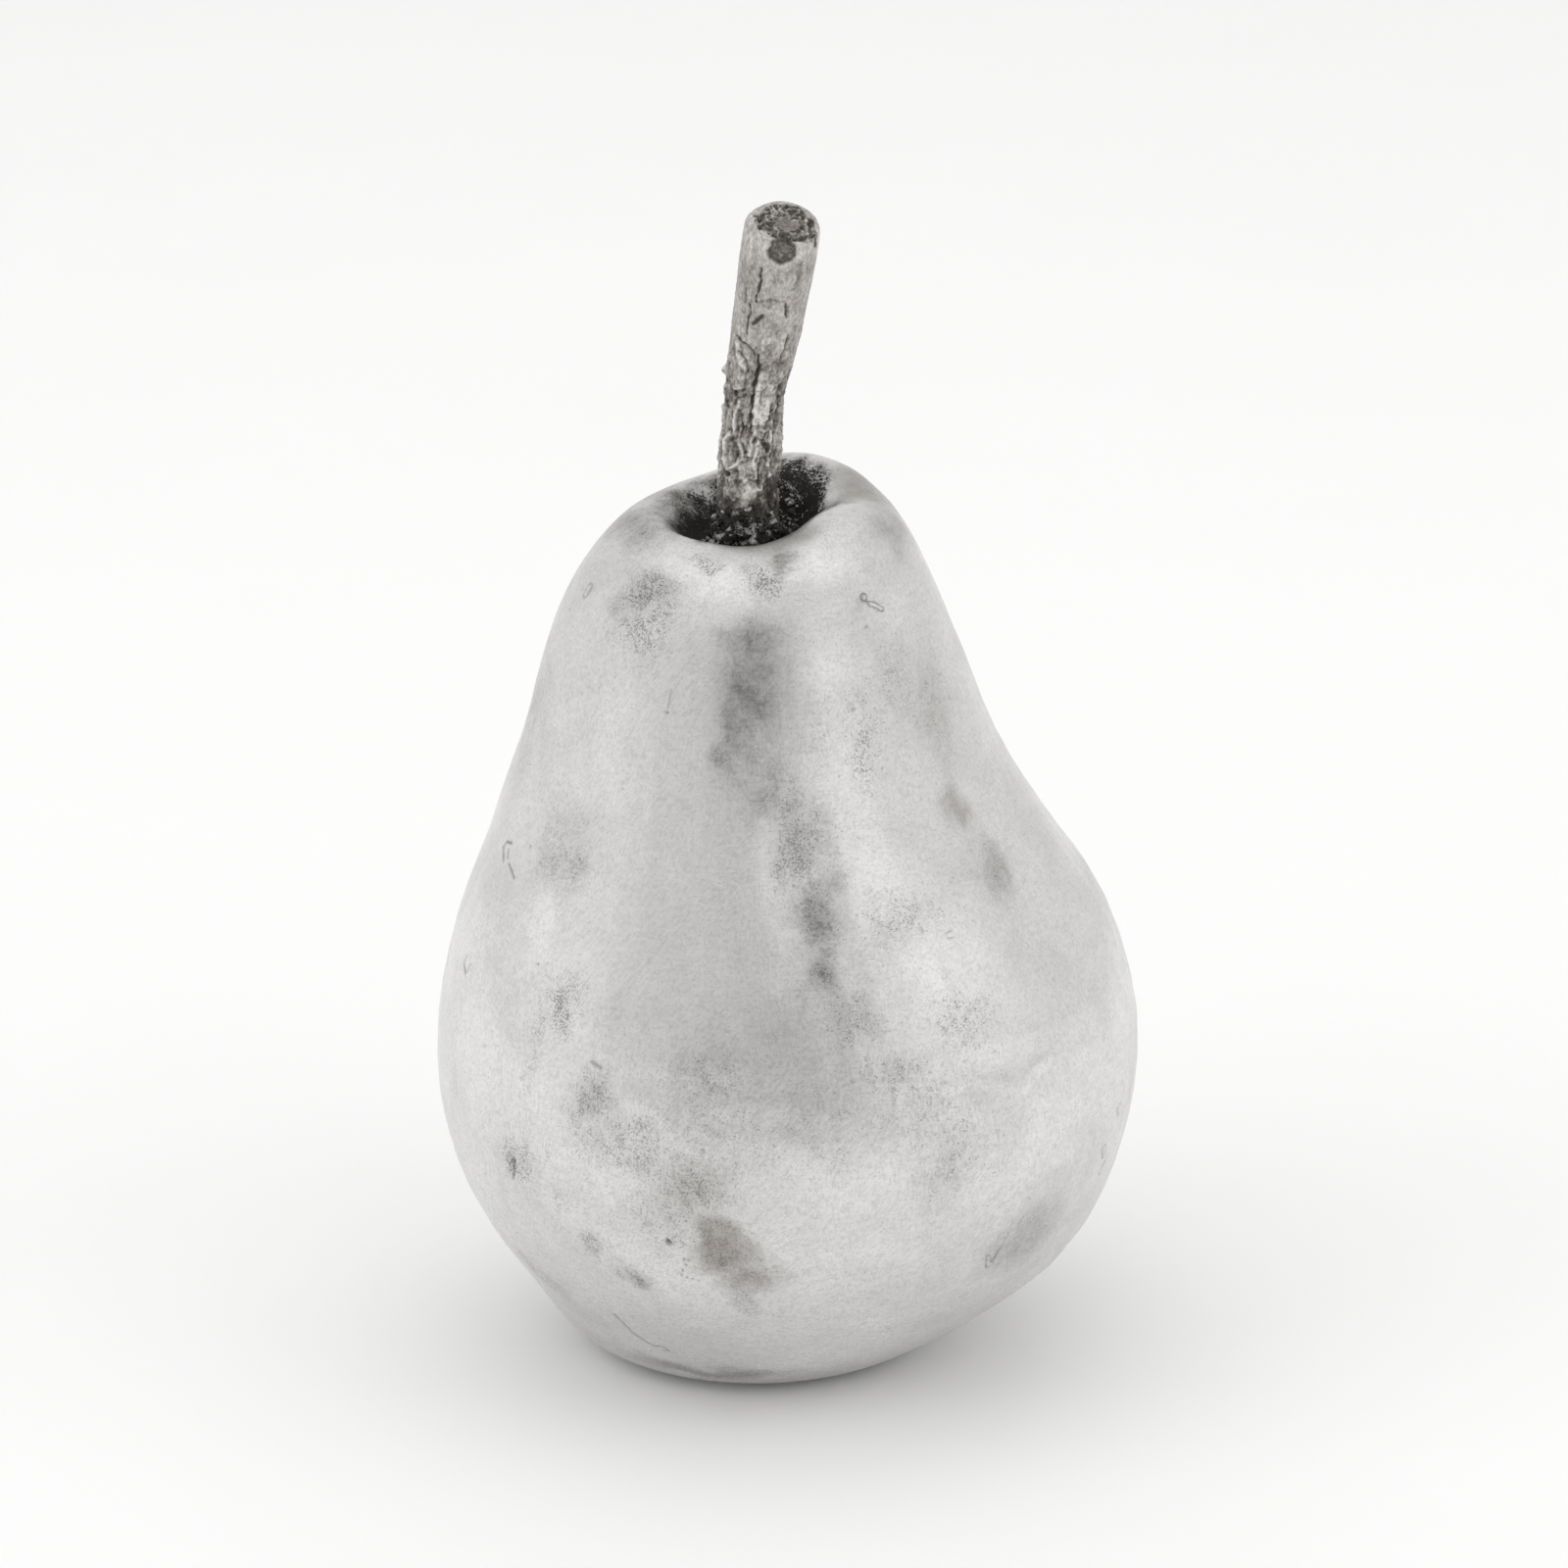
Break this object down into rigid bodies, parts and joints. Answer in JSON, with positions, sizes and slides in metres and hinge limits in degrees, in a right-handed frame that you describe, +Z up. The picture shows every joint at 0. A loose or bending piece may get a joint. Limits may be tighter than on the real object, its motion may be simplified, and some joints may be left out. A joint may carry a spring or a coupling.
{
  "type": "ornamental pear",
  "caption": "Life-size ornamental pear: a bright silvered metal skin on a hard filling, with a dull bark-grained stem set in the hollow at its top and a felt pad under its foot.",
  "frame": {"origin": "middle of the felt pad's underside, on the surface that the pear stands on", "axes": "+Z up, from the foot to the stem; -Y the front, towards which the stem's cut end leans; +X to the right seen from the front"},
  "size_m": [0.0756, 0.0752, 0.1266],
  "materials": {
    "antiqued_silver": "satin",
    "filling": "matte",
    "stem_metal": "matte",
    "dark_cement": "matte",
    "pin_steel": "satin",
    "disc_board": "matte",
    "felt": "matte"
  },
  "bodies": {
    "root": {"silver_shell": "antiqued_silver", "core_filling": "filling", "stem": "stem_metal", "stem_cement": "dark_cement", "stem_pin": "pin_steel", "base_disc": "disc_board", "felt_pad": "felt"}
  },
  "joints": []
}
